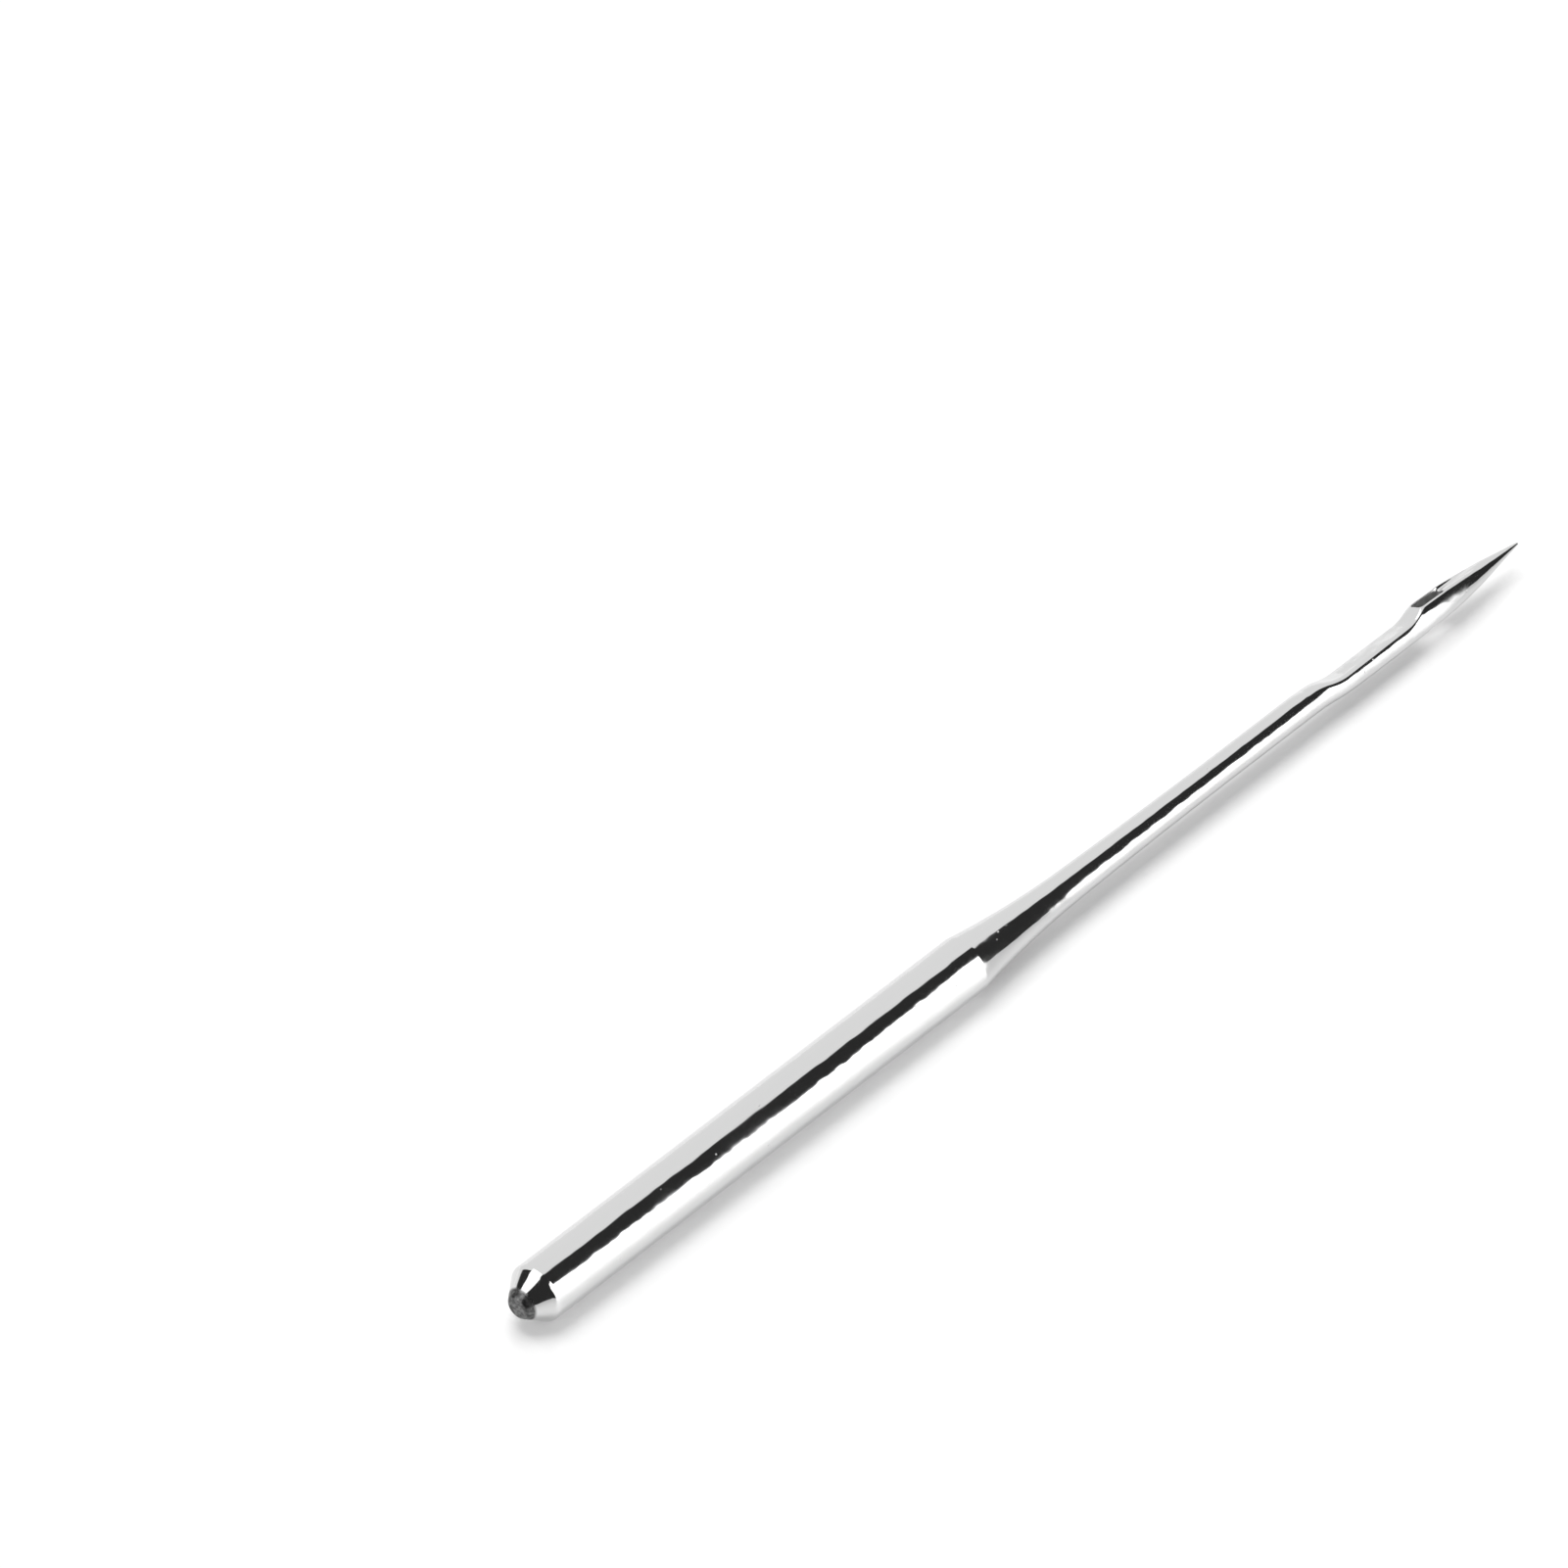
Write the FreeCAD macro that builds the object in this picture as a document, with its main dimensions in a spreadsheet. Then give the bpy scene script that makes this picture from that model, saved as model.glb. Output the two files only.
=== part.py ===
import FreeCAD, Part

import math
import os
import Sketcher

from FreeCAD import Placement, Rotation, Vector


# Sewing machine needle with a round shank, pressed and ground from one length of steel wire.
# It is drawn with its butt at the start of +X, its point at the end, the scarf facing +Z
# and the long groove facing -Z, and is then rolled and set down on its shank as it lies.

# Driving dimensions in millimetres, angles in degrees.
SIZES = {
    # stretches of the needle, one after the other from the butt to the point
    "shank_length": 16.8,
    "shoulder_length": 4.1,
    "blade_taper_length": 6.8,
    "slim_blade_length": 2.55,
    "scarf_length": 4.58,
    "eye_length": 1.06,
    "point_length": 2.96,
    # butt and shank
    "shank_diameter": 1.62,
    "butt_diameter": 0.6,
    "butt_cone_length": 0.68,
    "butt_rim_round": 0.25,
    "butt_face_round": 0.08,
    # blade
    "blade_root_diameter": 0.925,
    "blade_diameter": 0.78,
    # head, the end with scarf, eye and point, which sits a little to the groove side
    "swell_length": 1.7,
    "head_diameter": 0.86,
    "head_offset": 0.046,
    "head_width": 0.77,
    "point_taper_angle": 8.53,
    "point_blend_length": 1.37,
    "tip_radius": 0.04,
    # scarf
    "scarf_ramp_length": 1.4,
    "scarf_rise_length": 0.72,
    "scarf_rise_overrun": 0.05,
    "scarf_rise_height": 0.4,
    "scarf_floor_height": 0.113,
    # long groove
    "groove_width": 0.38,
    "groove_floor_depth": 0.12,
    "groove_setback": 0.1,
    "groove_runout_length": 1.8,
    # eye and the two thread channels between it and the point
    "eye_width": 0.41,
    "eye_lip_radius": 0.2,
    "front_channel_radius": 0.14,
    "front_channel_depth": 0.354,
    "front_channel_length": 1.3,
    "back_channel_radius": 0.25,
    "back_channel_height": 0.506,
    # how it lies
    "roll_angle": 27.0,
}

SHEET_LABEL = "Sizes"

# Ways for the edge that starts at a corner to be an arc: it leaves the edge before it smoothly,
# or it meets the edge after it smoothly.
LEAVES = "leaves"
MEETS = "meets"


class Size:
    """A length that is known both as a number and as a formula on the sheet."""

    def __init__(self, value, formula):
        self.value = value
        self.formula = formula

    def combine(self, sign, other, value):
        formula = other.formula if isinstance(other, Size) else repr(other)
        return Size(value, f"({self.formula} {sign} {formula})")

    def __add__(self, other):
        return self.combine("+", other, self.value + number(other))

    def __sub__(self, other):
        return self.combine("-", other, self.value - number(other))

    def __mul__(self, factor):
        return self.combine("*", factor, self.value * number(factor))

    def __truediv__(self, divisor):
        return self.combine("/", divisor, self.value / number(divisor))

    def __neg__(self):
        return Size(-self.value, f"(-{self.formula})")


def number(size):
    return size.value if isinstance(size, Size) else float(size)


def ratio(function, angle):
    """Sine, cosine or tangent of an angle, chosen by its short name."""
    value = getattr(math, function)(math.radians(angle.value))
    return Size(value, f"{function}({angle.formula} * 1 deg)")


def make_sheet(doc):
    """Write the driving dimensions into a sheet, one named cell each."""
    sheet = doc.addObject("Spreadsheet::Sheet", SHEET_LABEL)
    for row, (alias, value) in enumerate(SIZES.items(), start=1):
        sheet.set(f"A{row}", alias)
        sheet.set(f"B{row}", str(value))
        sheet.setAlias(f"B{row}", alias)
    doc.recompute()
    return {alias: Size(float(sheet.get(alias)), f"<<{SHEET_LABEL}>>.{alias}") for alias in SIZES}


def stations(s):
    """Distances from the butt at which the needle's stretches begin and end."""
    shoulder_end = s["shank_length"] + s["shoulder_length"]
    taper_end = shoulder_end + s["blade_taper_length"]
    scarf_start = taper_end + s["slim_blade_length"]
    swell_end = scarf_start + s["swell_length"]
    eye_start = scarf_start + s["scarf_length"]
    eye_end = eye_start + s["eye_length"]
    return {
        "shoulder_end": shoulder_end,
        "taper_end": taper_end,
        "scarf_start": scarf_start,
        "swell_end": swell_end,
        "eye_start": eye_start,
        "eye_end": eye_end,
        "tip": eye_end + s["point_length"],
    }


def new_sketch(body, name, plane_role):
    """Make a sketch on one of the body's own origin planes."""
    plane = next(item for item in body.Origin.OriginFeatures if item.Role == plane_role)
    sketch = body.newObject("Sketcher::SketchObject", name)
    sketch.AttachmentSupport = [(plane, "")]
    sketch.MapMode = "FlatFace"
    return sketch


def pin_point(sketch, edge, end, corner):
    """Tie one end of an edge to its two coordinates, each a formula or zero."""
    kinds = (("DistanceX", -2), ("DistanceY", -1))
    for (kind, axis), coordinate in zip(kinds, corner):
        if not isinstance(coordinate, Size):
            sketch.addConstraint(Sketcher.Constraint("PointOnObject", edge, end, axis))
            continue
        index = sketch.addConstraint(
            Sketcher.Constraint(kind, -1, 1, edge, end, coordinate.value)
        )
        sketch.setExpression(f"Constraints[{index}]", coordinate.formula)


def arc_between(start, end, tangent_point, direction):
    """Arc from start to end whose direction at tangent_point, one of the two, is given."""
    normal = Vector(-direction.y, direction.x, 0)
    other = end if tangent_point is start else start
    chord = other - tangent_point
    centre = tangent_point + normal * (chord.dot(chord) / (2 * chord.dot(normal)))
    radius = (start - centre).Length
    clockwise = normal.dot(centre - tangent_point) < 0
    circle = Part.Circle(centre, Vector(0, 0, 1), radius)
    first, last = (end, start) if clockwise else (start, end)
    angles = [math.atan2(point.y - centre.y, point.x - centre.x) for point in (first, last)]
    return Part.ArcOfCircle(circle, angles[0], angles[1]), clockwise


def heading(edge, at_start):
    """Direction of travel along a finished edge, at its start or its end."""
    geometry, backwards = edge
    use_first = at_start != backwards
    parameter = geometry.FirstParameter if use_first else geometry.LastParameter
    direction = geometry.tangent(parameter)[0]
    return -direction if backwards else direction


def draw_outline(sketch, corners, closed=True):
    """Join the corners by lines, or by an arc where a corner's third entry asks for one."""
    points = [Vector(number(corner[0]), number(corner[1]), 0) for corner in corners]
    kinds = [corner[2] if len(corner) > 2 else None for corner in corners]
    count = len(points)
    last = count if closed else count - 1
    edges = {}
    for i in range(last):
        if kinds[i] is None:
            edges[i] = (Part.LineSegment(points[i], points[(i + 1) % count]), False)
    for i in reversed(range(last)):
        if kinds[i] == MEETS:
            end = points[(i + 1) % count]
            following = heading(edges[(i + 1) % count], at_start=True)
            edges[i] = arc_between(points[i], end, end, following)
    for i in range(last):
        if kinds[i] == LEAVES:
            start = points[i]
            preceding = heading(edges[(i - 1) % count], at_start=False)
            edges[i] = arc_between(start, points[(i + 1) % count], start, preceding)

    for i in range(last):
        sketch.addGeometry(edges[i][0], False)
    ends = {i: (2, 1) if edges[i][1] else (1, 2) for i in edges}
    for i in range(count if closed else last - 1):
        after = (i + 1) % count
        smooth = kinds[i] == MEETS or kinds[after] == LEAVES
        joint = "Tangent" if smooth else "Coincident"
        sketch.addConstraint(Sketcher.Constraint(joint, i, ends[i][1], after, ends[after][0]))
    for i in range(last):
        pin_point(sketch, i, ends[i][0], corners[i])
    if not closed:
        pin_point(sketch, last - 1, ends[last - 1][1], corners[-1])


def add_axis(sketch, height, reach):
    """Add a construction line along X at a height, for features that turn about it."""
    ends = (Vector(0, height.value, 0), Vector(reach.value, height.value, 0))
    edge = sketch.addGeometry(Part.LineSegment(*ends), True)
    pin_point(sketch, edge, 1, (0, height))
    pin_point(sketch, edge, 2, (reach, height))


def turn(body, name, sketch, axis):
    """Add what a sketch sweeps as it turns about one of its own axes."""
    feature = body.newObject("PartDesign::Revolution", name)
    feature.Profile = sketch
    feature.ReferenceAxis = (sketch, [axis])
    body.Document.recompute()


def turn_out(body, name, sketch, axis):
    """Cut away what a sketch sweeps as it turns about one of its own axes."""
    before = body.Tip.Shape.Volume
    feature = body.newObject("PartDesign::Groove", name)
    feature.Profile = sketch
    feature.ReferenceAxis = (sketch, [axis])
    body.Document.recompute()
    confirm_cut(feature, before)


def cut_through(body, name, sketch, width):
    """Cut a sketch's area out of the body, half the width to each side of its plane."""
    before = body.Tip.Shape.Volume
    feature = body.newObject("PartDesign::Pocket", name)
    feature.Profile = sketch
    feature.SideType = "Symmetric"
    feature.setExpression("Length", width.formula)
    body.Document.recompute()
    confirm_cut(feature, before)


def confirm_cut(feature, volume_before):
    if not feature.Shape.Volume < volume_before:
        raise RuntimeError(f"{feature.Name} removes nothing")


def round_edges(body, name, radius, chosen):
    """Round the edges of the newest feature that pass the test."""
    base = body.Tip
    edges = base.Shape.Edges
    names = [f"Edge{i}" for i, edge in enumerate(edges, start=1) if chosen(edge)]
    fillet = body.newObject("PartDesign::Fillet", name)
    fillet.Base = (base, names)
    fillet.setExpression("Radius", radius.formula)
    body.Document.recompute()


def is_circle_at(edge, distance, radius):
    """True for a full circle about X at a distance from the butt."""
    if edge.Degenerated or not isinstance(edge.Curve, Part.Circle):
        return False
    same_place = abs(edge.Curve.Center.x - number(distance)) < 1e-4
    return same_place and abs(edge.Curve.Radius - radius.value) < 1e-4


def turn_blank(body, s, at):
    """Shank, shoulder and blade, turned about the needle's own axis."""
    shank = s["shank_diameter"] / 2
    corners = [
        (0, 0),
        (0, s["butt_diameter"] / 2),
        (s["butt_cone_length"], shank),
        (s["shank_length"], shank, MEETS),
        (at["shoulder_end"], s["blade_root_diameter"] / 2, MEETS),
        (at["taper_end"], s["blade_diameter"] / 2),
        (at["scarf_start"], s["blade_diameter"] / 2),
        (at["scarf_start"], 0),
    ]
    sketch = new_sketch(body, "blank_outline", "XZ_Plane")
    draw_outline(sketch, corners)
    turn(body, "blank", sketch, "H_Axis")
    round_edges(body, "butt_rim", s["butt_rim_round"],
                lambda edge: is_circle_at(edge, s["butt_cone_length"], shank))
    round_edges(body, "butt_face", s["butt_face_round"],
                lambda edge: is_circle_at(edge, 0, s["butt_diameter"] / 2))


def section_circle(body, name, distance, diameter, height):
    """Circle across the needle at a distance from the butt, for a loft."""
    sketch = new_sketch(body, name, "YZ_Plane")
    sketch.setExpression("AttachmentOffset.Base.z", distance.formula)
    centre = Vector(0, number(height), 0)
    circle = sketch.addGeometry(Part.Circle(centre, Vector(0, 0, 1), diameter.value / 2))
    pin_point(sketch, circle, 3, (0, height))
    index = sketch.addConstraint(Sketcher.Constraint("Diameter", circle, diameter.value))
    sketch.setExpression(f"Constraints[{index}]", diameter.formula)
    return sketch


def loft_swell(body, s, at):
    """Stretch below the scarf where the blade swells to the head, more to the groove side."""
    loft = body.newObject("PartDesign::AdditiveLoft", "swell")
    loft.Profile = section_circle(body, "swell_start", at["scarf_start"], s["blade_diameter"], 0)
    loft.Sections = [
        section_circle(body, "swell_end", at["swell_end"], s["head_diameter"], -s["head_offset"])
    ]
    loft.Ruled = True
    body.Document.recompute()


def turn_head(body, s, at):
    """Head and point, turned about the axis beyond the swell."""
    radius = s["head_diameter"] / 2
    low = -s["head_offset"]
    tip_start = at["tip"] - s["tip_radius"]
    angle = s["point_taper_angle"]
    cone_start = tip_start - (radius - s["tip_radius"]) / ratio("tan", angle)
    blend = s["point_blend_length"]
    corners = [
        (at["swell_end"], low),
        (at["swell_end"], low + radius),
        (cone_start - blend, low + radius, LEAVES),
        (cone_start + blend * ratio("cos", angle), low + radius - blend * ratio("sin", angle)),
        (tip_start, low + s["tip_radius"], LEAVES),
        (at["tip"], low),
    ]
    sketch = new_sketch(body, "head_outline", "XZ_Plane")
    draw_outline(sketch, corners)
    add_axis(sketch, low, at["tip"])
    turn(body, "head", sketch, "Axis0")


def press_sides(body, s, at):
    """Flats on both sides of the head, which run in slowly and run out on the point."""
    full = at["eye_start"] - s["scarf_rise_length"]
    for name, side in (("right_flat", -1), ("left_flat", 1)):
        outside = s["shank_diameter"] * side
        corners = [
            (at["swell_end"], outside),
            (at["swell_end"], s["head_diameter"] / 2 * side),
            (full, s["head_width"] / 2 * side),
            (at["tip"], s["head_width"] / 2 * side),
            (at["tip"], outside),
        ]
        sketch = new_sketch(body, f"{name}_outline", "XY_Plane")
        draw_outline(sketch, corners)
        cut_through(body, name, sketch, s["shank_diameter"])


def cut_scarf(body, s, at):
    """Flat relief before the eye, with a long ramp down and a short rise up to the eye."""
    floor = s["scarf_floor_height"]
    blade = s["blade_diameter"] / 2
    above = s["shank_diameter"] / 2
    corners = [
        (at["scarf_start"], above),
        (at["scarf_start"], blade),
        (at["scarf_start"] + s["scarf_ramp_length"] / 2, (floor + blade) / 2, MEETS),
        (at["scarf_start"] + s["scarf_ramp_length"], floor),
        (at["eye_start"] - s["scarf_rise_length"], floor, LEAVES),
        (at["eye_start"] + s["scarf_rise_overrun"], s["scarf_rise_height"]),
        (at["eye_start"] + s["scarf_rise_overrun"], above),
    ]
    sketch = new_sketch(body, "scarf_outline", "XZ_Plane")
    draw_outline(sketch, corners)
    cut_through(body, "scarf", sketch, s["shank_diameter"])


def cut_long_groove(body, s, at):
    """Thread groove from the shoulder to the eye, where its floor rolls over into the eye."""
    start = s["shank_length"] + s["groove_setback"]
    lip = s["eye_lip_radius"]
    floor = -s["groove_floor_depth"]
    below = -s["shank_diameter"]
    inside_eye = at["eye_start"] + s["eye_width"] / 2
    corners = [
        (start, below),
        (start, below / 2, MEETS),
        (start + s["groove_runout_length"], floor),
        (at["eye_start"] - lip, floor, LEAVES),
        (at["eye_start"], floor + lip),
        (inside_eye, floor + lip),
        (inside_eye, below),
    ]
    sketch = new_sketch(body, "groove_outline", "XZ_Plane")
    draw_outline(sketch, corners)
    cut_through(body, "long_groove", sketch, s["groove_width"])


def cut_eye(body, s, at):
    """Eye with round ends, straight through from the groove to the scarf side."""
    half = s["eye_width"] / 2
    corners = [
        (at["eye_start"] + half, half),
        (at["eye_end"] - half, half, LEAVES),
        (at["eye_end"] - half, -half),
        (at["eye_start"] + half, -half, LEAVES),
    ]
    sketch = new_sketch(body, "eye_outline", "XY_Plane")
    draw_outline(sketch, corners)
    cut_through(body, "eye", sketch, s["shank_diameter"])


def cut_channels(body, s, at):
    """Two short channels that lead the thread from the eye towards the point."""
    radius = s["front_channel_radius"]
    middle = -s["head_offset"] - s["front_channel_depth"]
    end = at["eye_end"] + s["front_channel_length"]
    corners = [
        (at["eye_end"] - radius, middle),
        (at["eye_end"] - radius, middle + radius),
        (end - radius, middle + radius, LEAVES),
        (end, middle),
    ]
    sketch = new_sketch(body, "front_channel_outline", "XZ_Plane")
    draw_outline(sketch, corners)
    add_axis(sketch, middle, at["tip"])
    turn_out(body, "front_channel", sketch, "Axis0")

    radius = s["back_channel_radius"]
    middle = s["back_channel_height"] - s["head_offset"]
    start = at["eye_end"] - s["eye_width"] / 2
    corners = [
        (start, middle),
        (start, middle + radius),
        (at["tip"], middle + radius),
        (at["tip"], middle),
    ]
    sketch = new_sketch(body, "back_channel_outline", "XZ_Plane")
    draw_outline(sketch, corners)
    add_axis(sketch, middle, at["tip"])
    turn_out(body, "back_channel", sketch, "Axis0")


def set_down(body, s, at):
    """Roll the finished needle and lay it on its shank, centred over the origin."""
    body.Placement = Placement(Vector(0, 0, 0), Rotation(Vector(1, 0, 0), -s["roll_angle"].value))
    body.setExpression("Placement.Base.x", (-at["tip"] / 2).formula)
    body.setExpression("Placement.Base.z", (s["shank_diameter"] / 2).formula)
    body.setExpression("Placement.Rotation.Angle", f"{(-s['roll_angle']).formula} * 1 deg")


def make_needle(doc, s):
    """The whole needle, one piece of steel."""
    at = stations(s)
    body = doc.addObject("PartDesign::Body", "needle")
    body.Label = "needle"
    turn_blank(body, s, at)
    loft_swell(body, s, at)
    turn_head(body, s, at)
    press_sides(body, s, at)
    cut_scarf(body, s, at)
    cut_long_groove(body, s, at)
    cut_eye(body, s, at)
    cut_channels(body, s, at)
    set_down(body, s, at)
    return body


def check(doc, bodies):
    """Stop if any object failed or any sub-part isn't one sound solid."""
    failed = [item.Name for item in doc.Objects if "Invalid" in item.State or "Error" in item.State]
    if failed:
        raise RuntimeError(f"failed objects: {failed}")
    for body in bodies:
        if body.Shape.isNull() or not body.Shape.isValid() or len(body.Shape.Solids) != 1:
            raise RuntimeError(f"{body.Label} isn't one sound solid")


def main():
    doc = FreeCAD.newDocument("sewing_machine_needle")
    sizes = make_sheet(doc)
    bodies = [make_needle(doc, sizes)]
    doc.recompute()
    check(doc, bodies)
    os.makedirs("parts", exist_ok=True)
    for body in bodies:
        body.Shape.exportStep(f"parts/{body.Label}.step")


main()
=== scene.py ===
import math

import bpy
import numpy as np
import openvdb
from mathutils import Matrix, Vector


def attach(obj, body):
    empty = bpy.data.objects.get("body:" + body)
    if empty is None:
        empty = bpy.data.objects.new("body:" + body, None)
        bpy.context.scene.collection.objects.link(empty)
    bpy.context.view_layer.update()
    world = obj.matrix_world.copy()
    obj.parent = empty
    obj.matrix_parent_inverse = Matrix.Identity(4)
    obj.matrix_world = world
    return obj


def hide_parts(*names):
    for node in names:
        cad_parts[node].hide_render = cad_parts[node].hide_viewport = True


# One sewing machine needle on a white table, in metres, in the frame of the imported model.
# Its surface is made again here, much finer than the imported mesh, because bright steel
# shows every facet. It is the zero of a function of the place, with the CAD model's sizes
# and softly rounded edges.

MM = 0.001

# Stretches along the needle, in millimetres from the butt
SHANK_END = 16.8
SHOULDER_END = 20.9
TAPER_END = 27.7
SWELL_START = 30.25
SWELL_LENGTH = 1.7
SWELL_END = SWELL_START + SWELL_LENGTH
SCARF_START = 30.25
EYE_START = 34.81
EYE_END = 35.86
EYE_MIDDLE = (EYE_START + EYE_END) / 2.0
TIP = 38.85

# Sections, in millimetres
SHANK_R = 0.81
BUTT_R = 0.3
BUTT_CONE = 0.68
BUTT_DARK_REACH = 0.21
BUTT_RIM_BLEND = 0.06
BUTT_FACE_BLEND = 0.06
BLADE_ROOT_R = 0.4625
BLADE_R = 0.39
HEAD_R = 0.43
HEAD_OFFSET = 0.046
HEAD_HALF_WIDTH = 0.385
HEAD_SIDE_BLEND = 0.12
POINT_SLOPE = math.tan(math.radians(8.53))
POINT_BLEND = 0.205
TIP_R = 0.04

# Scarf
SCARF_RAMP = 1.4
SCARF_LEAD_SLOPE = 0.3
SCARF_RISE = 0.72
SCARF_RISE_START = EYE_START - SCARF_RISE
SCARF_RISE_OVERRUN = 0.05
SCARF_FLOOR = 0.113
SCARF_TOP = 0.4
SCARF_EDGE = 0.15

# Long groove
GROOVE_START = 16.9
GROOVE_RUNOUT = 1.8
GROOVE_FLOOR = -0.12
GROOVE_HALF = 0.19
GROOVE_FLOOR_BLEND = 0.12
GROOVE_EDGE = 0.03

# Eye and thread channels
EYE_HALF = 0.205
EYE_LIP = 0.2
EYE_RIM = 0.08
EYE_CORNER = 0.12
CHANNEL_RIM = 0.04
FRONT_CHANNEL_HEIGHT = -0.4
FRONT_CHANNEL_R = 0.14
FRONT_CHANNEL_START = 35.75
FRONT_CHANNEL_END = 37.05
BACK_CHANNEL_FLOOR = 0.21
BACK_CHANNEL_HALF = 0.18
BACK_CHANNEL_BLEND = 0.09

ROLL = math.radians(27.0)

# Grid on which the surface is found, in millimetres: where it starts, then the end and the
# step of each run. The points found are then pulled onto the surface along its slope.
GRID_ALONG = (-0.1, (0.9, 0.03), (16.5, 0.6), (17.1, 0.05), (21.2, 0.12), (30.2, 0.15),
              (34.4, 0.06), (36.2, 0.022), (38.95, 0.04))
GRID_ACROSS = (-0.86, (-0.52, 0.034), (0.52, 0.0172), (0.86, 0.034))
GRID_BAND = 0.2
PULLS = 6
SLOPE_STEP = 0.002
LEAST_SQUARED_SLOPE = 0.1

# Parts of the surface, as attributes of the mesh that go from 0 to 1 over a few hundredths
# of a millimetre: the butt's end face, made darker and rougher, and painted shade in the groove
# and eye
# The butt's end face, tinted dark grey and made rougher
DARK_END = "dark_end"
DARK_END_FADE = 0.06
# Painted shade: the surfaces of the groove and eye are tinted darker and made less metallic
PAINTED_WALL_SHADE = "painted_wall_shade"
PAINTED_WALL_SHADE_FADE = 0.03

# Patterns of the steel, in periods per metre along the needle and across it
WAVES = (1500.0, 2500.0, 2500.0)
LINES = (400.0, 24000.0, 24000.0)
STAINS = (500.0, 900.0, 900.0)
GRAIN = (9000.0, 9000.0, 9000.0)
PITS = (2600.0, 3200.0, 3200.0)

# Values of the patterns between which grain, stains and pits fade in, the pits by their
# cells' distance and by the stains that they lie in
GRAIN_EDGE = (0.35, 0.7)
STAIN_EDGE = (0.5, 0.75)
PIT_EDGE = (0.09, 0.05)
PITTED_STAINS = (0.52, 0.58)

# Steel, with what each pattern adds to it and heights in metres
PLATED_GREY = 0.68
# Dark grey of the butt's end face and of the painted shade in the groove and eye
DARK_GREY = 0.07
DARK_GREY_GRAIN = 0.12
# Painted shade in the groove and eye: how far it tints towards the dark grey, and how much less
# metallic it makes the steel
WALL_SHADE_TINT = 0.45
WALL_SHADE_DULLNESS = 0.06
WALL_SHADE_DULLNESS_GRAIN = 0.22
ROUGHNESS = 0.055
ROUGHNESS_LINES = 0.04
ROUGHNESS_STAINS = 0.05
ROUGHNESS_PITS = 0.35
ROUGHNESS_DARK_PARTS = 0.25
WAVE_HEIGHT = 1.0e-5
LINE_HEIGHT = 2.0e-7
LINE_HEIGHT_DARK_PARTS = 3.0e-6
PIT_HEIGHT = -4.0e-6

# Camera
CAMERA_PLACE = Vector((-197.795, -167.82, 236.59)) * MM
CAMERA_AZIMUTH = math.radians(41.71)
CAMERA_DEPRESSION = math.radians(41.74)
CAMERA_NEAR = 0.01
CAMERA_FAR = 10.0
LENS = 315.9
SENSOR = 36.0

# Floor and lamp
FLOOR_HALF = 1.5
FLOOR_GREY = 0.8
FLOOR_ROUGHNESS = 0.25
FLOOR_GLOW = 0.24
LAMP_STRENGTH = 1.96
LAMP_ANGLE = math.radians(42.0)
LAMP_DOWN = Vector((-0.05, -0.26, -1.0))

# World. Its parts fade in or out between two values of a component of the direction:
# along the needle, across it, up, level away from the camera, or to the camera's right.
EVEN_LEVEL = 0.4
DARK_LEVEL = 0.032
SHEET_LEVEL = 0.96
SIDE_PANEL_LEVEL = 2.3
END_PANEL_LEVEL = 1.8
FAR_SIDE_ACROSS = (-0.015, 0.035)
FAR_SIDE_BEND = 0.1
FAR_SIDE_BEND_ALONG = (0.74, 0.80)
END_PANEL_ALONG = (0.24, 0.18)
END_PANEL_ACROSS = (0.66, 0.62)
SHEET_ALONG = (0.18, 0.24)
BACK_SHEET_ALONG = (-0.25, -0.2)
BACK_SHEET_ACROSS = (0.62, 0.66)
SIDE_PANEL_UP = (0.82, 0.78)
SIDE_PANEL_RIGHT = (0.3, 0.4)
SIDE_PANEL_AWAY_FAR = (-0.028, -0.04)
SIDE_PANEL_AWAY_NEAR = (-0.82, -0.74)
GROUND_UP = (0.0, -0.01)


# The needle's surface ------------------------------------------------------------------

def blend_max(a, b, width):
    """The larger of two fields, with the edge between them rounded over a width."""
    near = np.maximum(width - np.abs(a - b), 0.0)
    return np.maximum(a, b) + near * near / (4.0 * width)


def blend_min(a, b, width):
    return -blend_max(-a, -b, width)


def ease(u):
    """From 0 to 1 along two parabolas."""
    u = np.clip(u, 0.0, 1.0)
    return np.where(u < 0.5, 2.0 * u * u, 1.0 - 2.0 * (1.0 - u) ** 2)


def blank_radius(x):
    """Radius of the turned blank, before the point."""
    cone = BUTT_R + (SHANK_R - BUTT_R) * x / BUTT_CONE
    shank = blend_min(cone, np.full_like(x, SHANK_R), BUTT_RIM_BLEND)
    taper_length = TAPER_END - SHOULDER_END
    left = np.clip(TAPER_END - x, 0.0, taper_length)
    taper = BLADE_R + (BLADE_ROOT_R - BLADE_R) * (left / taper_length) ** 2
    taper = taper + (HEAD_R - BLADE_R) * ease((x - SWELL_START) / SWELL_LENGTH)
    root_slope = 2.0 * (BLADE_ROOT_R - BLADE_R) / taper_length
    length = SHOULDER_END - SHANK_END
    bow = (SHANK_R - BLADE_ROOT_R - root_slope * length) / length ** 2
    back = SHOULDER_END - x
    shoulder = BLADE_ROOT_R + root_slope * back + bow * back * back
    return np.where(x < SHANK_END, shank, np.where(x < SHOULDER_END, shoulder, taper))


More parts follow.
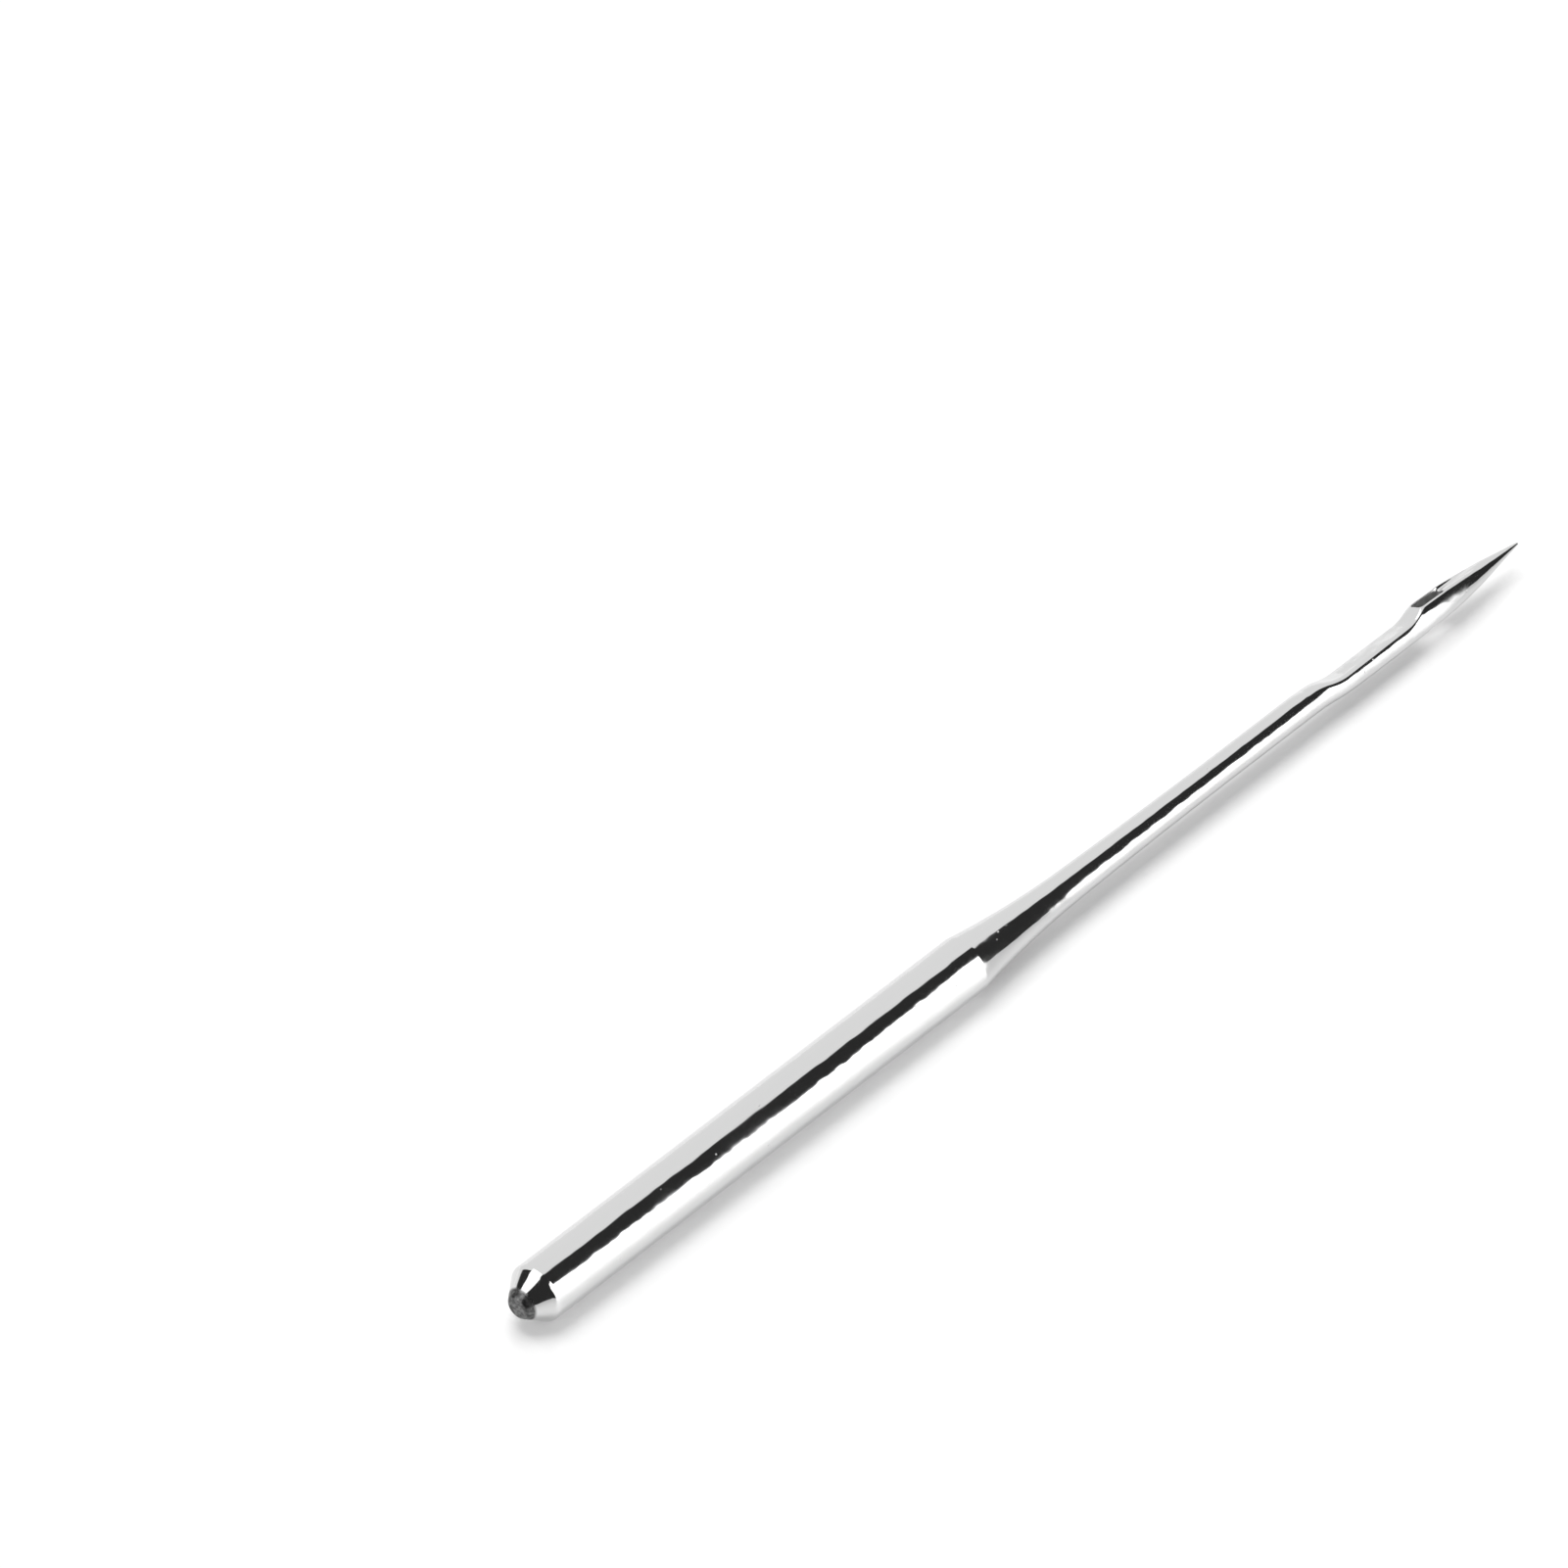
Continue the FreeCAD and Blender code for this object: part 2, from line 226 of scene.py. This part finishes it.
def opening_walls(x, y, z):
    """Below zero outside the long groove and the eye."""
    run = np.maximum(GROOVE_START + GROOVE_RUNOUT - x, 0.0) / GROOVE_RUNOUT
    floor = GROOVE_FLOOR + (-SHANK_R - GROOVE_FLOOR) * run ** 2
    groove = blend_max(np.abs(y) - GROOVE_HALF, z - floor, GROOVE_FLOOR_BLEND)
    groove = np.maximum(groove, x - (EYE_START + EYE_HALF))
    corner = np.where(x < EYE_MIDDLE, EYE_CORNER, EYE_HALF)
    along = np.abs(x - EYE_MIDDLE) - (EYE_END - EYE_START) / 2.0 + corner
    across = np.abs(y) - EYE_HALF + corner
    outside = np.sqrt(np.maximum(along, 0.0) ** 2 + np.maximum(across, 0.0) ** 2)
    eye = outside + np.minimum(np.maximum(along, across), 0.0) - corner
    return blend_max(-groove, -eye, EYE_LIP)


def turned_form(x, y, z):
    """Below zero inside the round needle with its point, before anything is pressed or cut."""
    axis = -HEAD_OFFSET * ease((x - SWELL_START) / SWELL_LENGTH)
    reach = np.sqrt(y * y + (z - axis) ** 2)
    cone_r = TIP_R + (TIP - TIP_R - x) * POINT_SLOPE
    side = reach - blend_min(blank_radius(x), cone_r, POINT_BLEND)
    ahead = x - (TIP - TIP_R)
    ball = np.sqrt(reach * reach + ahead * ahead) - TIP_R
    side = np.where(ahead > reach * POINT_SLOPE, ball, side)
    return blend_max(side, -x, BUTT_FACE_BLEND)


def scarf_side(x, z):
    """Below zero under the scarf."""
    ramp = SCARF_FLOOR + (BLADE_R - SCARF_FLOOR) * (1.0 - ease((x - SCARF_START) / SCARF_RAMP))
    ramp = ramp + SCARF_LEAD_SLOPE * np.maximum(SCARF_START - x, 0.0)
    rise = np.maximum(x - SCARF_RISE_START, 0.0) / (SCARF_RISE + SCARF_RISE_OVERRUN)
    return z - (ramp + (SCARF_TOP - SCARF_FLOOR) * rise ** 2)


def needle_field(x, y, z):
    """Below zero inside the steel. The needle points along +X with its scarf towards +Z."""
    steel = turned_form(x, y, z)
    spread = (HEAD_R - HEAD_HALF_WIDTH) / (SCARF_RISE_START - SWELL_END)
    width = HEAD_HALF_WIDTH + spread * np.maximum(SCARF_RISE_START - x, 0.0)
    steel = blend_max(steel, np.abs(y) - width, HEAD_SIDE_BLEND)
    steel = blend_max(steel, scarf_side(x, z), SCARF_EDGE)
    edge = np.where(x > EYE_START - EYE_LIP, EYE_RIM, GROOVE_EDGE)
    steel = blend_max(steel, opening_walls(x, y, z), edge)

    beyond = x - np.clip(x, FRONT_CHANNEL_START, FRONT_CHANNEL_END)
    channel = np.sqrt(y * y + (z - FRONT_CHANNEL_HEIGHT) ** 2 + beyond * beyond) - FRONT_CHANNEL_R
    steel = blend_max(steel, -channel, CHANNEL_RIM)
    channel = blend_max(np.abs(y) - BACK_CHANNEL_HALF, BACK_CHANNEL_FLOOR - z, BACK_CHANNEL_BLEND)
    channel = np.maximum(channel, EYE_MIDDLE - x)
    return blend_max(steel, -channel, CHANNEL_RIM)


def field_slope(points):
    """Slope of the field along each axis, from its values a step before and after."""
    slope = np.empty_like(points)
    for i in range(3):
        shift = np.zeros(3)
        shift[i] = SLOPE_STEP
        ahead = needle_field(*(points + shift).T)
        behind = needle_field(*(points - shift).T)
        slope[:, i] = (ahead - behind) / (2.0 * SLOPE_STEP)
    return slope


def spaced(first, *runs):
    """Coordinates from the first one on, in runs that each end at a place, by steps."""
    places = [first]
    for end, step in runs:
        start = places[-1]
        count = max(1, round((end - start) / step))
        places.extend(start + (end - start) * i / count for i in range(1, count + 1))
    return np.array(places)


def find_surface():
    """Points on the needle's surface, their normals, and the four-sided faces between them."""
    xs = spaced(*GRID_ALONG)
    side = spaced(*GRID_ACROSS)
    field = needle_field(*np.meshgrid(xs, side, side, indexing="ij"))
    grid = openvdb.FloatGrid(GRID_BAND)
    grid.copyFromArray(np.clip(field, -GRID_BAND, GRID_BAND).astype(np.float32))
    indices, quads = grid.convertToQuads(0.0)
    points = np.stack([
        np.interp(indices[:, i], np.arange(len(places)), places)
        for i, places in enumerate((xs, side, side))
    ], axis=1)
    for _ in range(PULLS):
        slope = field_slope(points)
        value = needle_field(*points.T)
        steepness = np.maximum((slope ** 2).sum(1), LEAST_SQUARED_SLOPE)
        points -= (value / steepness)[:, None] * slope
    normals = field_slope(points)
    normals /= np.linalg.norm(normals, axis=1)[:, None]
    return points, normals, quads


def make_needle():
    points, normals, quads = find_surface()
    # 1 on the butt's end face, which is tinted darker and made rougher
    dark_end = (BUTT_DARK_REACH + DARK_END_FADE / 2.0 - points[:, 0]) / DARK_END_FADE
    # Painted shade: 1 on the surfaces of the groove and eye, fading out just past their edges
    painted_wall_shade = 1.0 + opening_walls(*points.T) / PAINTED_WALL_SHADE_FADE
    turn = np.array([
        [1.0, 0.0, 0.0],
        [0.0, math.cos(ROLL), math.sin(ROLL)],
        [0.0, -math.sin(ROLL), math.cos(ROLL)],
    ])
    points = points @ turn.T + np.array([-TIP / 2.0, 0.0, SHANK_R])
    normals = normals @ turn.T
    mesh = bpy.data.meshes.new("needle_surface")
    mesh.from_pydata((points * MM).tolist(), [], quads.tolist())
    mesh.polygons.foreach_set("use_smooth", [True] * len(mesh.polygons))
    mesh.normals_split_custom_set_from_vertices(normals.tolist())
    mesh.update()
    for name, values in ((DARK_END, dark_end), (PAINTED_WALL_SHADE, painted_wall_shade)):
        attribute = mesh.attributes.new(name, "FLOAT", "POINT")
        attribute.data.foreach_set("value", np.clip(values, 0.0, 1.0))
    needle = bpy.data.objects.new("needle_surface", mesh)
    bpy.context.scene.collection.objects.link(needle)
    return needle


# Node trees ----------------------------------------------------------------------------

class Wiring:
    """Adds nodes to a node tree, with plain numbers written straight into their sockets."""

    def __init__(self, tree):
        self.nodes = tree.nodes
        self.links = tree.links

    def feed(self, socket, value):
        if isinstance(value, bpy.types.NodeSocket):
            self.links.new(value, socket)
        else:
            socket.default_value = value

    def math(self, operation, *values):
        node = self.nodes.new("ShaderNodeMath")
        node.operation = operation
        for socket, value in zip(node.inputs, values):
            self.feed(socket, value)
        return node.outputs[0]

    def times(self, *factors):
        """Product of two or more factors."""
        product = factors[0]
        for factor in factors[1:]:
            product = self.math("MULTIPLY", product, factor)
        return product

    def sum(self, start, *terms):
        """A start with terms added, each given as a value and its factor."""
        for value, factor in terms:
            start = self.math("ADD", start, self.times(value, factor))
        return start

    def vector_math(self, operation, socket, vector, output):
        node = self.nodes.new("ShaderNodeVectorMath")
        node.operation = operation
        self.links.new(socket, node.inputs[0])
        node.inputs[1].default_value = vector
        return node.outputs[output]

    def dot(self, socket, direction):
        return self.vector_math("DOT_PRODUCT", socket, direction, "Value")

    def pattern(self, kind, place, periods):
        """A texture node, with as many periods per metre along each axis as given."""
        stretched = self.vector_math("MULTIPLY", place, periods, "Vector")
        node = self.nodes.new(kind)
        node.inputs["Scale"].default_value = 1.0
        self.links.new(stretched, node.inputs["Vector"])
        return node

    def noise(self, place, periods, detail):
        node = self.pattern("ShaderNodeTexNoise", place, periods)
        node.inputs["Detail"].default_value = detail
        return node.outputs["Fac"]

    def cell_distance(self, place, periods):
        return self.pattern("ShaderNodeTexVoronoi", place, periods).outputs["Distance"]

    def attribute(self, name):
        node = self.nodes.new("ShaderNodeAttribute")
        node.attribute_name = name
        return node.outputs["Fac"]

    def bump(self, height, distance, normal=None):
        node = self.nodes.new("ShaderNodeBump")
        node.inputs["Strength"].default_value = 1.0
        self.feed(node.inputs["Distance"], distance)
        self.feed(node.inputs["Height"], height)
        if normal is not None:
            self.links.new(normal, node.inputs["Normal"])
        return node.outputs["Normal"]

    def seen(self):
        """1 for what the camera sees, also by way of steel or glass, and 0 for other light."""
        path = self.nodes.new("ShaderNodeLightPath")
        seen = self.math("MAXIMUM", path.outputs["Is Camera Ray"], path.outputs["Is Glossy Ray"])
        return self.math("MAXIMUM", seen, path.outputs["Is Transmission Ray"])

    def step(self, value, start, end):
        """0 on the start's side, 1 on the end's side, and smooth between them."""
        node = self.nodes.new("ShaderNodeMapRange")
        node.interpolation_type = "SMOOTHSTEP"
        node.inputs["From Min"].default_value = min(start, end)
        node.inputs["From Max"].default_value = max(start, end)
        node.inputs["To Min"].default_value = float(start > end)
        node.inputs["To Max"].default_value = float(start < end)
        self.feed(node.inputs["Value"], value)
        return node.outputs["Result"]


def white(level):
    return (level, level, level, 1.0)


def new_material(name):
    material = bpy.data.materials.new(name)
    material.use_nodes = True
    material.node_tree.nodes.clear()
    return material


# Materials, floor and light ------------------------------------------------------------

def make_steel():
    """Bright plating with the marks of polishing; darker and rougher on the butt's end face, with
    painted shade in the groove and eye, where the mesh says so.
    """
    material = new_material("bright_steel")
    tree = material.node_tree
    wire = Wiring(tree)
    place = tree.nodes.new("ShaderNodeTexCoord").outputs["Object"]
    waves = wire.noise(place, WAVES, detail=1.0)
    lines = wire.noise(place, LINES, detail=2.0)
    stains = wire.noise(place, STAINS, detail=3.0)
    grain = wire.step(wire.noise(place, GRAIN, detail=2.0), *GRAIN_EDGE)
    pits = wire.step(wire.cell_distance(place, PITS), *PIT_EDGE)
    pits = wire.times(pits, wire.step(stains, *PITTED_STAINS))
    end = wire.attribute(DARK_END)
    # painted shade in the groove and eye
    wall_shade = wire.attribute(PAINTED_WALL_SHADE)
    dark_end_and_wall_shade = wire.math("MAXIMUM", end, wall_shade)

    shader = tree.nodes.new("ShaderNodeBsdfPrincipled")
    # the painted shade also makes the steel less metallic there
    shade_dullness = wire.sum(WALL_SHADE_DULLNESS, (grain, WALL_SHADE_DULLNESS_GRAIN))
    metallic = wire.math("SUBTRACT", 1.0, wire.times(wall_shade, shade_dullness))
    wire.feed(shader.inputs["Metallic"], metallic)
    tint = tree.nodes.new("ShaderNodeMix")
    tint.data_type = "RGBA"
    # tint towards the dark grey: the butt's end face, and the painted shade in the groove and eye
    dark_tint = wire.math("MAXIMUM", end, wire.times(wall_shade, WALL_SHADE_TINT))
    wire.feed(tint.inputs["Factor"], dark_tint)
    tint.inputs["A"].default_value = white(PLATED_GREY)
    wire.feed(tint.inputs["B"], wire.sum(DARK_GREY, (grain, DARK_GREY_GRAIN)))
    wire.feed(shader.inputs["Base Color"], tint.outputs["Result"])
    roughness = wire.sum(
        ROUGHNESS,
        (lines, ROUGHNESS_LINES),
        (wire.step(stains, *STAIN_EDGE), ROUGHNESS_STAINS),
        (pits, ROUGHNESS_PITS),
        (dark_end_and_wall_shade, ROUGHNESS_DARK_PARTS),
    )
    wire.feed(shader.inputs["Roughness"], roughness)
    normal = wire.bump(waves, WAVE_HEIGHT)
    normal = wire.bump(lines, wire.sum(LINE_HEIGHT, (dark_end_and_wall_shade, LINE_HEIGHT_DARK_PARTS)), normal)
    normal = wire.bump(pits, PIT_HEIGHT, normal)
    wire.feed(shader.inputs["Normal"], normal)
    output = tree.nodes.new("ShaderNodeOutputMaterial")
    tree.links.new(shader.outputs["BSDF"], output.inputs["Surface"])
    return material


def make_floor():
    """White table. What the camera and the steel see of it glows a little, up to white."""
    bpy.ops.mesh.primitive_plane_add(size=2 * FLOOR_HALF, location=(0, 0, 0))
    floor = bpy.context.object
    floor.name = "floor"
    material = new_material("white_table")
    nodes, links = material.node_tree.nodes, material.node_tree.links
    output = nodes.new("ShaderNodeOutputMaterial")
    paper = nodes.new("ShaderNodeBsdfPrincipled")
    paper.inputs["Base Color"].default_value = white(FLOOR_GREY)
    paper.inputs["Roughness"].default_value = FLOOR_ROUGHNESS
    glow = nodes.new("ShaderNodeEmission")
    glow.inputs["Color"].default_value = white(1.0)
    wire = Wiring(material.node_tree)
    wire.feed(glow.inputs["Strength"], wire.times(wire.seen(), FLOOR_GLOW))
    add = nodes.new("ShaderNodeAddShader")
    links.new(paper.outputs["BSDF"], add.inputs[0])
    links.new(glow.outputs["Emission"], add.inputs[1])
    links.new(add.outputs["Shader"], output.inputs["Surface"])
    floor.data.materials.append(material)


def make_world():
    """Even grey light. What is seen, also in the steel, is a dark studio with a grey sheet
    and two bright panels."""
    world = bpy.data.worlds.new("studio")
    bpy.context.scene.world = world
    world.use_nodes = True
    world.cycles.sampling_method = "NONE"
    tree = world.node_tree
    tree.nodes.clear()
    wire = Wiring(tree)
    direction = tree.nodes.new("ShaderNodeTexCoord").outputs["Generated"]
    along = wire.dot(direction, (1.0, 0.0, 0.0))
    across = wire.dot(direction, (0.0, 1.0, 0.0))
    up = wire.dot(direction, (0.0, 0.0, 1.0))
    away = wire.dot(direction, (math.cos(CAMERA_AZIMUTH), math.sin(CAMERA_AZIMUTH), 0.0))
    right = wire.dot(direction, (math.sin(CAMERA_AZIMUTH), -math.cos(CAMERA_AZIMUTH), 0.0))

    # 1 towards the needle's far side, with an edge that bends to the near side far ahead
    bent = wire.sum(across, (wire.step(along, *FAR_SIDE_BEND_ALONG), FAR_SIDE_BEND))
    far_side = wire.step(bent, *FAR_SIDE_ACROSS)
    # bright panel there, towards the butt
    end_panel = wire.times(
        far_side, wire.step(across, *END_PANEL_ACROSS), wire.step(along, *END_PANEL_ALONG)
    )
    # grey sheet there, towards the point, and a part of it that reaches back past the panel
    sheet = wire.times(far_side, wire.step(along, *SHEET_ALONG))
    back_sheet = wire.times(
        wire.step(across, *BACK_SHEET_ACROSS), wire.step(along, *BACK_SHEET_ALONG)
    )
    sheet = wire.math("MAXIMUM", sheet, back_sheet)
    # tall bright panel to the right of the camera
    side_panel = wire.times(
        wire.step(up, *SIDE_PANEL_UP), wire.step(right, *SIDE_PANEL_RIGHT),
        wire.step(away, *SIDE_PANEL_AWAY_FAR), wire.step(away, *SIDE_PANEL_AWAY_NEAR),
    )
    level = wire.sum(
        DARK_LEVEL, (sheet, SHEET_LEVEL), (side_panel, SIDE_PANEL_LEVEL),
        (end_panel, END_PANEL_LEVEL),
    )
    # white below the horizon, where the floor ends
    level = wire.math("ADD", level, wire.step(up, *GROUND_UP))

    room = tree.nodes.new("ShaderNodeBackground")
    wire.feed(room.inputs["Color"], level)
    even = tree.nodes.new("ShaderNodeBackground")
    even.inputs["Color"].default_value = white(EVEN_LEVEL)
    mix = tree.nodes.new("ShaderNodeMixShader")
    tree.links.new(wire.seen(), mix.inputs["Fac"])
    tree.links.new(even.outputs["Background"], mix.inputs[1])
    tree.links.new(room.outputs["Background"], mix.inputs[2])
    output = tree.nodes.new("ShaderNodeOutputWorld")
    tree.links.new(mix.outputs["Shader"], output.inputs["Surface"])


def make_lamp():
    """Large soft lamp, high over the needle's far side. It isn't seen in the steel."""
    data = bpy.data.lights.new("soft_lamp", "SUN")
    data.energy = LAMP_STRENGTH
    data.angle = LAMP_ANGLE
    lamp = bpy.data.objects.new("soft_lamp", data)
    bpy.context.scene.collection.objects.link(lamp)
    lamp.rotation_mode = "QUATERNION"
    lamp.rotation_quaternion = LAMP_DOWN.to_track_quat("-Z", "Y")
    lamp.visible_glossy = False


def make_camera():
    data = bpy.data.cameras.new("camera")
    camera = bpy.data.objects.new("camera", data)
    bpy.context.scene.collection.objects.link(camera)
    data.sensor_width = SENSOR
    data.lens = LENS
    data.clip_start = CAMERA_NEAR
    data.clip_end = CAMERA_FAR
    level = math.cos(CAMERA_DEPRESSION)
    forward = Vector((
        level * math.cos(CAMERA_AZIMUTH),
        level * math.sin(CAMERA_AZIMUTH),
        -math.sin(CAMERA_DEPRESSION),
    ))
    camera.location = CAMERA_PLACE
    camera.rotation_mode = "QUATERNION"
    camera.rotation_quaternion = forward.to_track_quat("-Z", "Y")
    bpy.context.scene.camera = camera


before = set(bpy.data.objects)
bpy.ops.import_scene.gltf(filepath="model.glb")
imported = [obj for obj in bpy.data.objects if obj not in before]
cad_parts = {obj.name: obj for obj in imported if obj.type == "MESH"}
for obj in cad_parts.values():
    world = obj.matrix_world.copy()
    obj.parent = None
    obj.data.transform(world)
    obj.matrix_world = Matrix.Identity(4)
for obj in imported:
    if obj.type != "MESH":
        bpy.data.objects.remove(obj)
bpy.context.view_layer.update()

needle = make_needle()
needle.data.materials.append(make_steel())
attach(needle, "root")
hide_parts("needle")

make_floor()
make_world()
make_lamp()
make_camera()
bpy.context.scene.view_settings.view_transform = "Standard"
